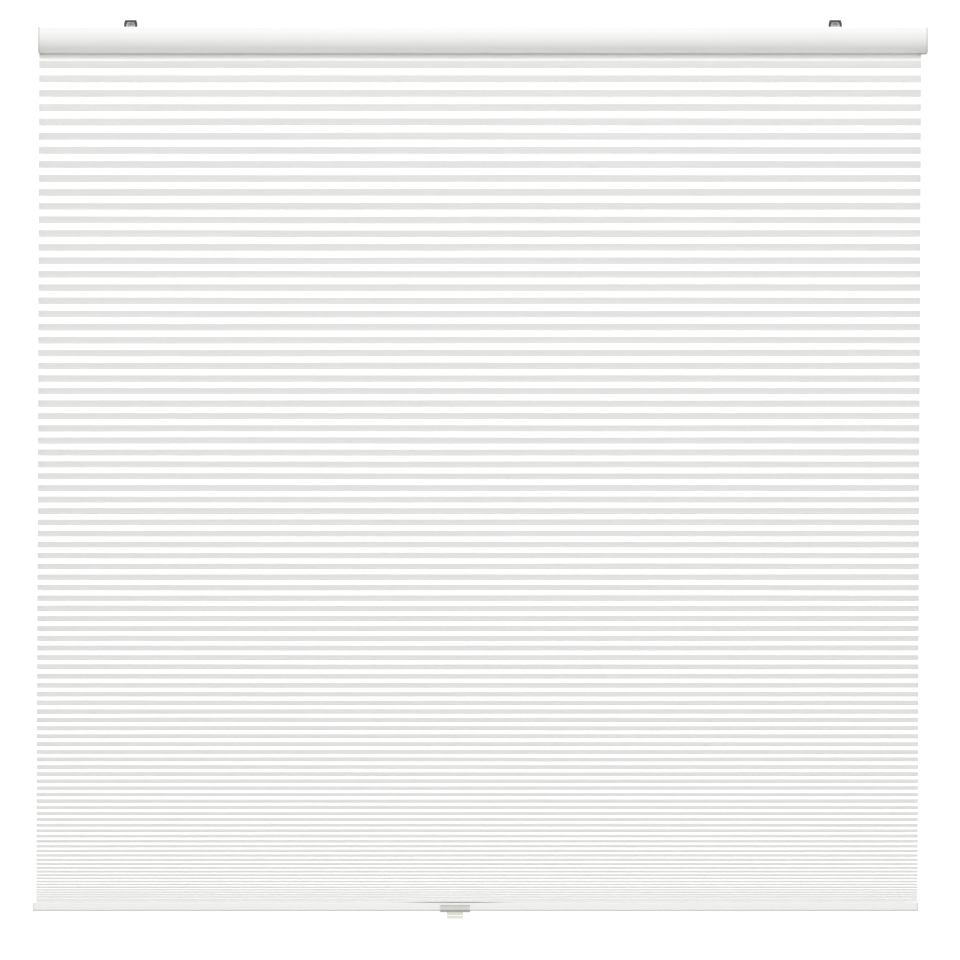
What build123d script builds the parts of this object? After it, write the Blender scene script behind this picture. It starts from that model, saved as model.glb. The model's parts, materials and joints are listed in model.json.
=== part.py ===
from build123d import *
import math
import os

# Cordless cellular blind: a head rail in two ceiling brackets, honeycomb fabric, and a bottom rail
# that a spring motor balances through three lift cords.
# Millimetres. The origin lies in the ceiling plane midway between the brackets.
# X runs along the blind, -Y faces the room and Z points up.

# ---- Head rail ----
RAIL_LENGTH = 1200.0  # over both end caps
RAIL_WALL = 1.2
RAIL_SWEEP = 15.0  # how far back the front curves on its way down
RAIL_FRONT_FLAT = 8.0  # upright stretch at the top of the front
RAIL_LIP = 8.0  # width of each turned-in lip beside the open top
RAIL_CORNER = 1.0
BRACKET_RISE = 9.5  # ceiling to the top of the rail

# ---- Bottom rail ----
BASE_LENGTH = RAIL_LENGTH - 8.0  # over both end caps
BASE_HEIGHT = 11.5
BASE_INSET = 0.25  # the slack cells stand proud of the bottom rail by this, front and back
BASE_WALL = 1.2
BASE_TOP_ROUND = 0.8
BASE_BOTTOM_ROUND = 2.5
BASE_OFFSET = -10.0  # the bottom rail hangs this far along X from the middle of the head rail

# ---- Fabric ----
FABRIC_WIDTH = RAIL_LENGTH - 14.0
FABRIC_HEIGHT = 1144.2  # hanging height of the cells
FABRIC_OFFSET = -6.5
CELL_FACE = 11.0  # slope length from a glue line to a crease
GLUE_STRIP = 5.5  # width of the glued strip between two cells
CLOTH = 0.3
STACK_PITCH = 1.0  # pitch of the slack cells just above the bottom rail
MEAN_OPENING = 1.095  # mean pitch of the hanging cells, in face lengths
STRETCH = 1.2  # how sharply the pitch levels off towards the top
FABRIC_GAP = 0.9  # between the lowest cell and the bottom rail, for the handle's hooks

# ---- Channels and strips that hold the fabric's first and last tube ----
CHANNEL_LIP = 1.2
CHANNEL_SLOT = 13.0
STRIP_WIDTH = 18.0
STRIP_THICKNESS = 1.0
STRIP_INSET = 10.0  # the strips stop this far inside the fabric's edges
HEM_TRIM = 5.0  # the first and last tube are cut back to clear the end caps
CLOTH_CLEARANCE = 0.2
STRIP_CLEARANCE = 0.05
WEB = 1.2  # wall between a channel and the chamber beyond it

# ---- Lift cords, spools and shaft ----
STATION_SPACING = 400.0
CORD_RADIUS = 0.6
CORD_HOLE_RADIUS = 1.5
LOWERING = 357.0  # travel left below the hanging position
RAISING = 1060.0  # travel up to the gathered stack
SPOOL_RADIUS = 8.5
SPOOL_RIM = 2.3  # the flanges stand this far over the barrel
SPOOL_FLANGE = 1.2
SPOOL_ROOM_BEHIND = 1.8
SPOOL_ROOM_ABOVE = 3.9
SPOOL_ROOM_BELOW = 2.3
SPARE_TURNS = 2.0  # left on a spool when the blind is right down
END_TURNS = 2.0  # room left beside the turns of a raised blind
JOURNAL_RADIUS = 4.5
JOURNAL_LENGTH = 3.0
SHAFT_SIDE = 4.8
SHAFT_CLEARANCE = 0.1
SHAFT_OVERHANG = 3.0
RUNNING_CLEARANCE = 0.05
SIDE_CLEARANCE = 0.4

# ---- Cradles ----
CRADLE_WALL = 2.4
CRADLE_FLOOR = 1.5
CRADLE_FRONT = 11.0
CRADLE_BOSS_RADIUS = 3.0
BEARING_RIM = 3.0  # round each journal
SNAP_MOUTH = 0.85  # width of a bearing's open top, in journal diameters
SEAT_CLEARANCE = 0.1

# ---- Spring motor ----
MOTOR_CENTRE_X = 190.0
DRUM_SPACING = 17.4
OUTPUT_CORE_RADIUS = 4.8
STORAGE_CORE_RADIUS = 5.2
DRUM_FLANGE_RADIUS = 8.2
DRUM_FLANGE = 0.8
SPRING_WIDTH = 13.4
SPRING_THICKNESS = 0.12
SPRING_RESERVE_TURNS = 2.0
AXLE_RADIUS = 1.5
DRUM_JOURNAL_RADIUS = 4.0
MOTOR_WALL = 1.4
MOTOR_FOOT_FRONT = 2.0  # the foot starts this far before the storage drum's axis

# ---- Ceiling brackets ----
BRACKET_SPACING = 950.0
BRACKET_TOP_WIDTH = 15.0
BRACKET_FOOT_WIDTH = 18.0
BRACKET_STEEL = 1.2
SCREW_HOLE_RADIUS = 2.25
LEG_WIDTH = 3.2
TOE_REACH = 4.5
CHEEK_LENGTH = 10.5
LEDGE_WIDTH = 1.4  # the cheeks' feet turn in by this much to carry the latch
LEDGE_RISE = 1.2  # above the rail's lips

# ---- Release latches ----
LATCH_WIDTH = 9.0
LATCH_LENGTH = 7.0  # of the part that slides between the cheeks
LATCH_NOSE = 3.0  # how far the nose reaches under the rear lip
LATCH_NOSE_THICKNESS = 2.0
LATCH_GRIP = 5.0  # the finger pad's reach over the rear lip
LATCH_GRIP_RISE = 3.0
FINGER_SLOT = (5.4, 2.4)
FINGER_SLOT_DEPTH = 3.0

# ---- End caps ----
CAP_THICKNESS = 2.8
BASE_CAP_THICKNESS = 2.0
PLUG_LENGTH = 7.0
PLUG_WALL = 1.5
PLUG_CLEARANCE = 0.15
CAP_ROUND = 2.0  # of the rim round each head cap's outer face
BASE_CAP_ROUND = 1.2

# ---- Cord anchors and handle ----
ANCHOR_RADIUS = 4.5
ANCHOR_STEM_RADIUS = 3.0
ANCHOR_GRIP = 3.0  # length of cord held in an anchor
HANDLE_X = -37.7
HANDLE_WIDTH = 40.0
HANDLE_WALL = 1.2
HANDLE_HOOK = 3.0
HANDLE_HOOK_THICKNESS = 0.6
HANDLE_SKIRT = 4.2  # below the clip's underside
TAB_WIDTH = 21.6
TAB_LENGTH = 31.0

OVERSHOOT = 1.0  # cutting shapes run this far past the faces that they open

# ---- Sizes and levels worked out from the ones above ----
CORD_LAY = SPOOL_RADIUS + SHAFT_CLEARANCE + CORD_RADIUS  # shaft axis to the cord's middle
SPOOL_FLANGE_RADIUS = SPOOL_RADIUS + SPOOL_RIM
CHANNEL_HEIGHT = 2 * CLOTH + STRIP_THICKNESS + 2 * STRIP_CLEARANCE + 2 * CLOTH_CLEARANCE
CHANNEL_HALF = STRIP_WIDTH / 2 + STRIP_CLEARANCE + CLOTH + CLOTH_CLEARANCE

# The head rail is as deep and as high as a spool in its cradle needs, above the fabric's channel.
RAIL_DEPTH = 2 * (CORD_LAY + SPOOL_FLANGE_RADIUS + SPOOL_ROOM_BEHIND + RAIL_WALL)
SPOOL_SPACE = SPOOL_ROOM_BELOW + 2 * SPOOL_FLANGE_RADIUS + SPOOL_ROOM_ABOVE
RAIL_HEIGHT = CHANNEL_LIP + CHANNEL_HEIGHT + WEB + CRADLE_FLOOR + SPOOL_SPACE + RAIL_WALL
BASE_DEPTH = GLUE_STRIP + 2 * CELL_FACE - 2 * BASE_INSET

RAIL_TOP = -BRACKET_RISE
RAIL_BOTTOM = RAIL_TOP - RAIL_HEIGHT
RAIL_FLOOR = RAIL_BOTTOM + CHANNEL_LIP + CHANNEL_HEIGHT + WEB
FABRIC_TOP = RAIL_BOTTOM
FABRIC_BOTTOM = FABRIC_TOP - FABRIC_HEIGHT
BASE_TOP = FABRIC_BOTTOM - FABRIC_GAP
BASE_BOTTOM = BASE_TOP - BASE_HEIGHT
BASE_CHAMBER_TOP = BASE_TOP - CHANNEL_LIP - CHANNEL_HEIGHT - WEB

SHAFT_Y = CORD_LAY
SHAFT_Z = RAIL_TOP - RAIL_WALL - SPOOL_ROOM_ABOVE - SPOOL_FLANGE_RADIUS
STATIONS = {
    "left": FABRIC_OFFSET - STATION_SPACING,
    "middle": FABRIC_OFFSET,
    "right": FABRIC_OFFSET + STATION_SPACING,
}
FULL_TURNS = (LOWERING + RAISING) / (2 * math.pi * CORD_LAY)
LOWERING_TURNS = LOWERING / (2 * math.pi * CORD_LAY)
REST_TURNS = LOWERING_TURNS + SPARE_TURNS
SPOOL_LENGTH = 2 * CORD_RADIUS * (SPARE_TURNS + FULL_TURNS + END_TURNS)

os.makedirs("parts", exist_ok=True)


def save(shape, name):
    export_step(shape, f"parts/{name}.step")


def block(x, y, z):
    """A box between a low and a high value along each axis."""
    limits = (x, y, z)
    middle = [(low + high) / 2 for low, high in limits]
    return Pos(*middle) * Box(*[high - low for low, high in limits])


def bar(section, x_low, x_high):
    """Extrude a section drawn in Y and Z from one X position to another."""
    return Pos(x_low, 0, 0) * extrude(Plane.YZ * section, x_high - x_low)


def rod_x(radius, x, y, z):
    """A round bar along X between the two values of x."""
    return Pos(sum(x) / 2, y, z) * Rot(0, 90, 0) * Cylinder(radius, x[1] - x[0])


def rod_z(radius, x, y, z):
    """A round bar along Z between the two values of z."""
    return Pos(x, y, sum(z) / 2) * Cylinder(radius, z[1] - z[0])


def area(y, z):
    """A rectangle in a YZ section."""
    return Pos(sum(y) / 2, sum(z) / 2) * Rectangle(y[1] - y[0], z[1] - z[0])


def mirrored(points):
    """The other half of an outline that is drawn on one side of its middle line."""
    return [(-across, z) for across, z in reversed(points)]


# ---- Head rail: aluminium extrusion, open on top, with a T-shaped channel along its underside ----
def rail_outline(inset):
    """The rail's outside in YZ, moved in by a wall: flat back and top, and a front that curves under."""
    front = -RAIL_DEPTH / 2 + inset
    back = RAIL_DEPTH / 2 - inset
    top = RAIL_TOP - inset
    bottom = RAIL_BOTTOM + inset
    curve_y = -RAIL_DEPTH / 2 + RAIL_SWEEP
    curve_z = RAIL_TOP - RAIL_FRONT_FLAT
    curve = EllipticalCenterArc((curve_y, curve_z), curve_y - front, curve_z - bottom, 180, arc_size=90)
    straight = Polyline((curve_y, bottom), (back, bottom), (back, top), (front, top), (front, curve_z))
    return make_face([curve, *straight.edges()])


def rail_chamber(clearance):
    """The space above the web, less a clearance."""
    inside = rail_outline(RAIL_WALL + clearance)
    above_web = area((-RAIL_DEPTH, RAIL_DEPTH), (RAIL_FLOOR + clearance, 0))
    return inside & above_web


def head_rail():
    mouth = RAIL_DEPTH / 2 - RAIL_LIP
    section = fillet(rail_outline(0).vertices().group_by(Axis.Y)[-1], RAIL_CORNER)
    section -= rail_chamber(0)
    section -= area((-mouth, mouth), (RAIL_TOP - 2 * RAIL_WALL, RAIL_TOP + OVERSHOOT))
    channel = (RAIL_BOTTOM + CHANNEL_LIP, RAIL_FLOOR - WEB)
    section -= area((-CHANNEL_HALF, CHANNEL_HALF), channel)
    section -= area((-CHANNEL_SLOT / 2, CHANNEL_SLOT / 2), (RAIL_BOTTOM - OVERSHOOT, channel[1]))
    section -= area((CHANNEL_HALF + RAIL_WALL, RAIL_DEPTH / 2 - RAIL_WALL), channel)
    half = RAIL_LENGTH / 2 - CAP_THICKNESS
    rail = bar(section, -half, half)
    boss_hole = CRADLE_BOSS_RADIUS + SEAT_CLEARANCE
    for x in STATIONS.values():
        rail -= rod_z(boss_hole, x, 0, (RAIL_FLOOR - WEB - OVERSHOOT, RAIL_FLOOR + OVERSHOOT))
    return rail


save(head_rail(), "head_rail")


# ---- Head rail end caps: moulded plates with a hollow plug that pushes into the rail ----
def head_cap(side):
    outside = side * RAIL_LENGTH / 2
    shoulder = side * (RAIL_LENGTH / 2 - CAP_THICKNESS)
    plate = bar(rail_outline(0), *sorted((outside, shoulder)))
    rim = plate.faces().sort_by(Axis.X)[0 if side < 0 else -1].edges()
    plate = fillet(rim, CAP_ROUND)
    plug_end = shoulder - side * PLUG_LENGTH
    ring = rail_chamber(PLUG_CLEARANCE) - rail_chamber(PLUG_CLEARANCE + PLUG_WALL)
    return plate + bar(ring, *sorted((shoulder, plug_end)))


save(head_cap(-1), "head_cap_left")
save(head_cap(1), "head_cap_right")


# ---- Ceiling brackets: pressed steel with two front legs whose toes carry the rail's front lip ----
BRACKET_FRONT = -RAIL_DEPTH / 2 + RAIL_LIP + SEAT_CLEARANCE
BRACKET_BACK = RAIL_DEPTH / 2 - RAIL_LIP
LIP_UNDERSIDE = RAIL_TOP - RAIL_WALL - SEAT_CLEARANCE
LEDGE_TOP = RAIL_TOP + LEDGE_RISE + BRACKET_STEEL


def bracket_skirt():
    """The front of a bracket: it flares downwards and is open between its two legs."""
    top = BRACKET_TOP_WIDTH / 2
    foot = BRACKET_FOOT_WIDTH / 2
    low = LIP_UNDERSIDE - BRACKET_STEEL
    flare = RAIL_TOP / 2
    right = [(top, 0), (foot, flare), (foot, low)]
    window = [
        (top - LEG_WIDTH, -2 * BRACKET_STEEL),
        (foot - LEG_WIDTH, flare - BRACKET_STEEL),
        (foot - LEG_WIDTH, low),
    ]
    outline = right + window[::-1] + mirrored(right + window[::-1])
    sheet = Plane.XZ * make_face(Polyline(*outline, close=True))
    return Pos(0, BRACKET_FRONT, 0) * extrude(sheet, BRACKET_STEEL, dir=(0, 1, 0))


def bracket(x):
    """A plate under the ceiling, the front skirt with its toes, and two cheeks that guide the latch."""
    top = BRACKET_TOP_WIDTH / 2
    foot = BRACKET_FOOT_WIDTH / 2
    body = block((-top, top), (BRACKET_FRONT, BRACKET_BACK), (-BRACKET_STEEL, 0)) + bracket_skirt()
    guide = LATCH_WIDTH / 2 + SIDE_CLEARANCE
    cheek_y = (BRACKET_BACK - CHEEK_LENGTH, BRACKET_BACK)
    toe_y = (BRACKET_FRONT - TOE_REACH, BRACKET_FRONT + BRACKET_STEEL)
    for side in (-1, 1):
        toe_x = sorted((side * foot, side * (foot - LEG_WIDTH)))
        cheek_x = sorted((side * guide, side * (guide + BRACKET_STEEL)))
        ledge_x = sorted((side * (guide - LEDGE_WIDTH), side * (guide + BRACKET_STEEL)))
        body += block(toe_x, toe_y, (LIP_UNDERSIDE - BRACKET_STEEL, LIP_UNDERSIDE))
        body += block(cheek_x, cheek_y, (RAIL_TOP + LEDGE_RISE, -BRACKET_STEEL / 2))
        body += block(ledge_x, cheek_y, (RAIL_TOP + LEDGE_RISE, LEDGE_TOP))
    hole = (-BRACKET_STEEL - OVERSHOOT, OVERSHOOT)
    return Pos(x, 0, 0) * (body - rod_z(SCREW_HOLE_RADIUS, 0, 0, hole))


# ---- Release latches: moulded slides whose nose holds the rail's rear lip ----
def latch(x):
    """Pushing the latch forwards draws the nose out from under the rear lip."""
    high = -BRACKET_STEEL - SIDE_CLEARANCE
    half = LATCH_WIDTH / 2
    neck_half = half - LEDGE_WIDTH
    slide_y = (BRACKET_BACK - LATCH_LENGTH, BRACKET_BACK - SEAT_CLEARANCE)
    nose_low = LIP_UNDERSIDE - LATCH_NOSE_THICKNESS
    nose_y = (slide_y[0], BRACKET_BACK + LATCH_NOSE)
    grip_z = (RAIL_TOP + LATCH_GRIP_RISE, high)
    body = block((-half, half), slide_y, (LEDGE_TOP + SEAT_CLEARANCE, high))
    body += block((-neck_half, neck_half), slide_y, (nose_low, high))
    body += block((-neck_half, neck_half), nose_y, (nose_low, LIP_UNDERSIDE))
    body += block((-half, half), (slide_y[1], BRACKET_BACK + LATCH_GRIP), grip_z)
    slot = extrude(Plane.XZ * SlotOverall(*FINGER_SLOT), FINGER_SLOT_DEPTH, dir=(0, 1, 0))
    return Pos(x, 0, 0) * (body - Pos(0, slide_y[0], sum(grip_z) / 2) * slot)


for name, x in (("left", -BRACKET_SPACING / 2), ("right", BRACKET_SPACING / 2)):
    save(bracket(x), f"bracket_{name}")
    save(latch(x), f"latch_{name}")


# ---- Fabric: folded tubes glued one under another; the first and last sit in the rails' channels ----
def cell_pitches():
    """Cell heights from the bottom up: slack cells lie nearly shut, and the upper ones hang open."""
    count = round(FABRIC_HEIGHT / (MEAN_OPENING * CELL_FACE))
    growth = [math.tanh(STRETCH * j / (count - 1)) for j in range(count)]
    share = (FABRIC_HEIGHT - count * STACK_PITCH) / sum(growth)
    return [STACK_PITCH + share * g for g in growth]


def hem(glue_z, up, gap):
    """Half of the tube that wraps a strip, outside and inside: up the slot, then flat in the channel."""
    ledge = glue_z + up * (gap + CHANNEL_LIP + CLOTH_CLEARANCE)
    far = ledge + up * (2 * CLOTH + STRIP_THICKNESS + 2 * STRIP_CLEARANCE)
    wide = STRIP_WIDTH / 2 + STRIP_CLEARANCE + CLOTH
    narrow = CHANNEL_SLOT / 2 - CLOTH_CLEARANCE
    half_glue = GLUE_STRIP / 2
    corner = CLOTH * math.tan(math.atan2(abs(ledge - glue_z), narrow - half_glue) / 2)
    outside = [(-wide, far), (-wide, ledge), (-narrow, ledge)]
    inside = [
        (-wide + CLOTH, far - up * CLOTH),
        (-wide + CLOTH, ledge + up * CLOTH),
        (-narrow + corner, ledge + up * CLOTH),
        (-half_glue + corner, glue_z + up * CLOTH),
    ]
    return outside, inside


def cell_side(pitches):
    """The front edge of all cells from the bottom up, and half of each cell's hollow."""
    half_glue = GLUE_STRIP / 2
    level = FABRIC_BOTTOM
    side = [(-half_glue, level)]
    hollows = []
    for pitch in pitches:
        half = pitch / 2
        depth = math.sqrt(CELL_FACE**2 - half**2)
        slope = math.atan2(half, depth)
        flat = half_glue - CLOTH * math.tan(slope / 2)
        tip = half_glue + depth - CLOTH / math.sin(slope)
        low, high = level + CLOTH, level + pitch - CLOTH
        hollows.append([(-flat, low), (-tip, level + half), (-flat, high)])
        level += pitch
        side += [(-half_glue - depth, level - half), (-half_glue, level)]
    return side, hollows


def wire(half):
    points = half + mirrored(half)
    return Wire.make_polygon([(0, y, z) for y, z in points], close=True)


def fabric():
    side, hollows = cell_side(cell_pitches())
    top_outside, top_inside = hem(FABRIC_TOP, 1, 0)
    bottom_outside, bottom_inside = hem(FABRIC_BOTTOM, -1, FABRIC_GAP)
    outline = wire(bottom_outside + side + top_outside[::-1])
    face = Face(outline, [wire(half) for half in (bottom_inside, *hollows, top_inside)])
    left = FABRIC_OFFSET - FABRIC_WIDTH / 2
    right = left + FABRIC_WIDTH
    cloth = Pos(left, 0, 0) * extrude(face, FABRIC_WIDTH, dir=(1, 0, 0))
    cuts = [rod_z(CORD_HOLE_RADIUS, x, 0, (BASE_BOTTOM, RAIL_TOP)) for x in STATIONS.values()]
    for x in ((left - OVERSHOOT, left + HEM_TRIM), (right - HEM_TRIM, right + OVERSHOOT)):
        for z in ((BASE_BOTTOM, FABRIC_BOTTOM), (FABRIC_TOP, RAIL_TOP)):
            cuts.append(block(x, (-BASE_DEPTH, BASE_DEPTH), z))
    return cloth - cuts


save(fabric(), "fabric")


# ---- Fabric strips: flat bars inside the first and last tube, holed for the cords ----
def strip(glue_z, up, gap):
    base = glue_z + up * (gap + CHANNEL_LIP + CLOTH_CLEARANCE + CLOTH + STRIP_CLEARANCE)
    half = FABRIC_WIDTH / 2 - STRIP_INSET
    limits = sorted((base, base + up * STRIP_THICKNESS))
    x = (FABRIC_OFFSET - half, FABRIC_OFFSET + half)
    body = block(x, (-STRIP_WIDTH / 2, STRIP_WIDTH / 2), limits)
    cut = (limits[0] - OVERSHOOT, limits[1] + OVERSHOOT)
    return body - [rod_z(CORD_HOLE_RADIUS, station, 0, cut) for station in STATIONS.values()]


save(strip(FABRIC_TOP, 1, 0), "top_strip")
save(strip(FABRIC_BOTTOM, -1, FABRIC_GAP), "bottom_strip")


# ---- Bottom rail: slim aluminium extrusion with the same channel on top and a chamber below ----
def base_outline(inset):
    half = BASE_DEPTH / 2 - inset
    outline = area((-half, half), (BASE_BOTTOM + inset, BASE_TOP - inset))
    low = outline.vertices().group_by(Axis.Y)[0]
    outline = fillet(low, BASE_BOTTOM_ROUND - inset)
    if inset < BASE_TOP_ROUND:
        outline = fillet(outline.vertices().group_by(Axis.Y)[-1], BASE_TOP_ROUND - inset)
    return outline


def base_chamber(clearance):
    inside = base_outline(BASE_WALL + clearance)
    below_web = area((-BASE_DEPTH, BASE_DEPTH), (BASE_BOTTOM, BASE_CHAMBER_TOP - clearance))
    return inside & below_web


def bottom_rail():
    section = base_outline(0) - base_chamber(0)
    channel = (BASE_CHAMBER_TOP + WEB, BASE_TOP - CHANNEL_LIP)
    section -= area((-CHANNEL_HALF, CHANNEL_HALF), channel)
    section -= area((-CHANNEL_SLOT / 2, CHANNEL_SLOT / 2), (channel[0], BASE_TOP + OVERSHOOT))
    half = BASE_LENGTH / 2 - BASE_CAP_THICKNESS
    rail = bar(section, BASE_OFFSET - half, BASE_OFFSET + half)
    for x in STATIONS.values():
        rail -= rod_z(CORD_HOLE_RADIUS, x, 0, (BASE_CHAMBER_TOP - OVERSHOOT, channel[0] + OVERSHOOT))
        underside = (BASE_BOTTOM - OVERSHOOT, BASE_BOTTOM + BASE_WALL + OVERSHOOT)
        rail -= rod_z(ANCHOR_RADIUS + SEAT_CLEARANCE, x, 0, underside)
    return rail


save(bottom_rail(), "bottom_rail")


def base_cap(side):
    outside = BASE_OFFSET + side * BASE_LENGTH / 2
    shoulder = outside - side * BASE_CAP_THICKNESS
    plate = bar(base_outline(0), *sorted((outside, shoulder)))
    rim = plate.faces().sort_by(Axis.X)[0 if side < 0 else -1].edges()
    plate = fillet(rim, BASE_CAP_ROUND)
    plug_end = shoulder - side * PLUG_LENGTH
    return plate + bar(base_chamber(PLUG_CLEARANCE), *sorted((shoulder, plug_end)))


save(base_cap(-1), "bottom_cap_left")
save(base_cap(1), "bottom_cap_right")


# ---- Cord anchors: flush plugs in the bottom rail's underside that grip the cord ends ----
def anchor(x):
    head = rod_z(ANCHOR_RADIUS, x, 0, (BASE_BOTTOM, BASE_BOTTOM + BASE_WALL))
    stem = rod_z(ANCHOR_STEM_RADIUS, x, 0, (BASE_BOTTOM, BASE_CHAMBER_TOP - SEAT_CLEARANCE))
    grip = (BASE_CHAMBER_TOP - SEAT_CLEARANCE - ANCHOR_GRIP, BASE_TOP)
    return head + stem - rod_z(CORD_RADIUS + SEAT_CLEARANCE, x, 0, grip)


# ---- Lift cords: braided, straight down from the spools through every cell to the anchors ----
def lift_cord(x):
    low = BASE_CHAMBER_TOP - ANCHOR_GRIP
    return rod_z(CORD_RADIUS, x, 0, (low, SHAFT_Z))


# ---- Cord spools: moulded bobbins on the square shaft ----
def spool_limits(station):
    """The barrel starts where the wound turns begin, so that the cord leaves over the station."""
    wound = 2 * CORD_RADIUS * REST_TURNS
    start = station - CORD_RADIUS - wound
    return start, start + SPOOL_LENGTH


def square_bore(x):
    half = SHAFT_SIDE / 2 + SHAFT_CLEARANCE
    return block(x, (SHAFT_Y - half, SHAFT_Y + half), (SHAFT_Z - half, SHAFT_Z + half))


def spool(station):
    start, end = spool_limits(station)
    body = rod_x(SPOOL_RADIUS, (start, end), SHAFT_Y, SHAFT_Z)
    for low in (start - SPOOL_FLANGE, end):
        body += rod_x(SPOOL_FLANGE_RADIUS, (low, low + SPOOL_FLANGE), SHAFT_Y, SHAFT_Z)
    ends = (start - SPOOL_FLANGE - JOURNAL_LENGTH, end + SPOOL_FLANGE + JOURNAL_LENGTH)
    body += rod_x(JOURNAL_RADIUS, ends, SHAFT_Y, SHAFT_Z)
    return body - square_bore((ends[0] - OVERSHOOT, ends[1] + OVERSHOOT))


def winding(station):
    """The turns that are on the spool at rest, with a groove between each two."""
    turns = int(REST_TURNS)
    start = spool_limits(station)[0] + SEAT_CLEARANCE
    inner = SPOOL_RADIUS + RUNNING_CLEARANCE
    rim = [Line((start, inner), (start, CORD_LAY))]
    for turn in range(turns):
        x = start + 2 * CORD_RADIUS * turn
        crown = (x + CORD_RADIUS, CORD_LAY + CORD_RADIUS)
        rim.append(ThreePointArc((x, CORD_LAY), crown, (x + 2 * CORD_RADIUS, CORD_LAY)))
    end = start + 2 * CORD_RADIUS * turns
    rim += [Line((end, CORD_LAY), (end, inner)), Line((end, inner), (start, inner))]
    ring = revolve(Plane.XZ * make_face(rim), Axis.X)
    return Pos(0, SHAFT_Y, SHAFT_Z) * ring


def cradle(station):
    """A moulded seat with two bearing walls, and a boss that guides the cord through the rail's web."""
    start, end = spool_limits(station)
    inner = (start - SPOOL_FLANGE - SIDE_CLEARANCE, end + SPOOL_FLANGE + SIDE_CLEARANCE)
    outer = (inner[0] - CRADLE_WALL, inner[1] + CRADLE_WALL)
    back = SHAFT_Y + SPOOL_FLANGE_RADIUS
    body = block(outer, (-CRADLE_FRONT, back), (RAIL_FLOOR, RAIL_FLOOR + CRADLE_FLOOR))
    rim = JOURNAL_RADIUS + BEARING_RIM
    wall_y = (SHAFT_Y - rim, SHAFT_Y + rim)
    wall_z = (RAIL_FLOOR, SHAFT_Z + JOURNAL_RADIUS)
    for limits in ((outer[0], inner[0]), (inner[1], outer[1])):
        body += block(limits, wall_y, wall_z)
    boss = (RAIL_FLOOR - WEB, RAIL_FLOOR + CRADLE_FLOOR)
    body += rod_z(CRADLE_BOSS_RADIUS, station, 0, boss)
    body -= rod_z(CORD_HOLE_RADIUS, station, 0, (boss[0] - OVERSHOOT, boss[1] + OVERSHOOT))
    through = (outer[0] - OVERSHOOT, outer[1] + OVERSHOOT)
    body -= rod_x(JOURNAL_RADIUS + RUNNING_CLEARANCE, through, SHAFT_Y, SHAFT_Z)
    mouth = SNAP_MOUTH * JOURNAL_RADIUS
    return body - block(through, (SHAFT_Y - mouth, SHAFT_Y + mouth), (SHAFT_Z, 0))


for name, station in STATIONS.items():
    save(anchor(station), f"cord_anchor_{name}")
    save(lift_cord(station), f"lift_cord_{name}")
    save(spool(station), f"spool_{name}")
    save(winding(station), f"winding_{name}")
    save(cradle(station), f"cradle_{name}")


# ---- Drive shaft: a square steel bar through the spools and the motor's output drum ----
def drive_shaft():
    reach = SPOOL_FLANGE + JOURNAL_LENGTH + SHAFT_OVERHANG
    low = spool_limits(STATIONS["left"])[0] - reach
    high = spool_limits(STATIONS["right"])[1] + reach
    half = SHAFT_SIDE / 2
    return block((low, high), (SHAFT_Y - half, SHAFT_Y + half), (SHAFT_Z - half, SHAFT_Z + half))


save(drive_shaft(), "drive_shaft")


# ---- Spring motor: a flat spring wound between a storage drum and the output drum on the shaft ----
STORAGE_Y = SHAFT_Y - DRUM_SPACING
DRUM_LENGTH = SPRING_WIDTH + 2 * SIDE_CLEARANCE + 2 * DRUM_FLANGE
CAVITY = DRUM_LENGTH + 2 * SIDE_CLEARANCE
MOTOR_LOW = MOTOR_CENTRE_X - CAVITY / 2
MOTOR_HIGH = MOTOR_CENTRE_X + CAVITY / 2
CAVITY_RADIUS = DRUM_FLANGE_RADIUS + SIDE_CLEARANCE
SHELL_RADIUS = CAVITY_RADIUS + MOTOR_WALL


def coil_radii(output_turns):
    """Outer radii of the spring on the output and storage drums with so many turns on the output."""
    def length(turns):
        mean = OUTPUT_CORE_RADIUS + turns * SPRING_THICKNESS / 2
        return 2 * math.pi * mean * turns

    reserve = 2 * math.pi * STORAGE_CORE_RADIUS * SPRING_RESERVE_TURNS
    stored = length(FULL_TURNS + 1) - length(output_turns) + reserve
    storage = math.sqrt(STORAGE_CORE_RADIUS**2 + stored * SPRING_THICKNESS / math.pi)
    return OUTPUT_CORE_RADIUS + output_turns * SPRING_THICKNESS, storage


def capsule(radius):
    """A section round both drum axes."""
    ends = [Pos(y, SHAFT_Z) * Circle(radius) for y in (SHAFT_Y, STORAGE_Y)]
    return ends[0] + ends[1] + area((STORAGE_Y, SHAFT_Y), (SHAFT_Z - radius, SHAFT_Z + radius))


def motor_foot():
    """A hollow foot under the motor, down to the rail's floor."""
    y = (STORAGE_Y - MOTOR_FOOT_FRONT, SHAFT_Y + SHELL_RADIUS / 2)
    z = (RAIL_FLOOR, SHAFT_Z - SHELL_RADIUS / 2)
    hollow = area((y[0] + MOTOR_WALL, y[1] - MOTOR_WALL), (z[0] - OVERSHOOT, z[1]))
    return area(y, z) - hollow - capsule(SHELL_RADIUS - MOTOR_WALL / 2)


def motor_base():
    shell = bar(capsule(SHELL_RADIUS), MOTOR_LOW - MOTOR_WALL, MOTOR_HIGH)
    shell += bar(motor_foot(), MOTOR_LOW - MOTOR_WALL, MOTOR_HIGH)
    shell -= bar(capsule(CAVITY_RADIUS), MOTOR_LOW, MOTOR_HIGH + OVERSHOOT)
    through = (MOTOR_LOW - MOTOR_WALL - OVERSHOOT, MOTOR_LOW + OVERSHOOT)
    shell -= rod_x(DRUM_JOURNAL_RADIUS + RUNNING_CLEARANCE, through, SHAFT_Y, SHAFT_Z)
    return shell - rod_x(AXLE_RADIUS, through, STORAGE_Y, SHAFT_Z)


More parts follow.
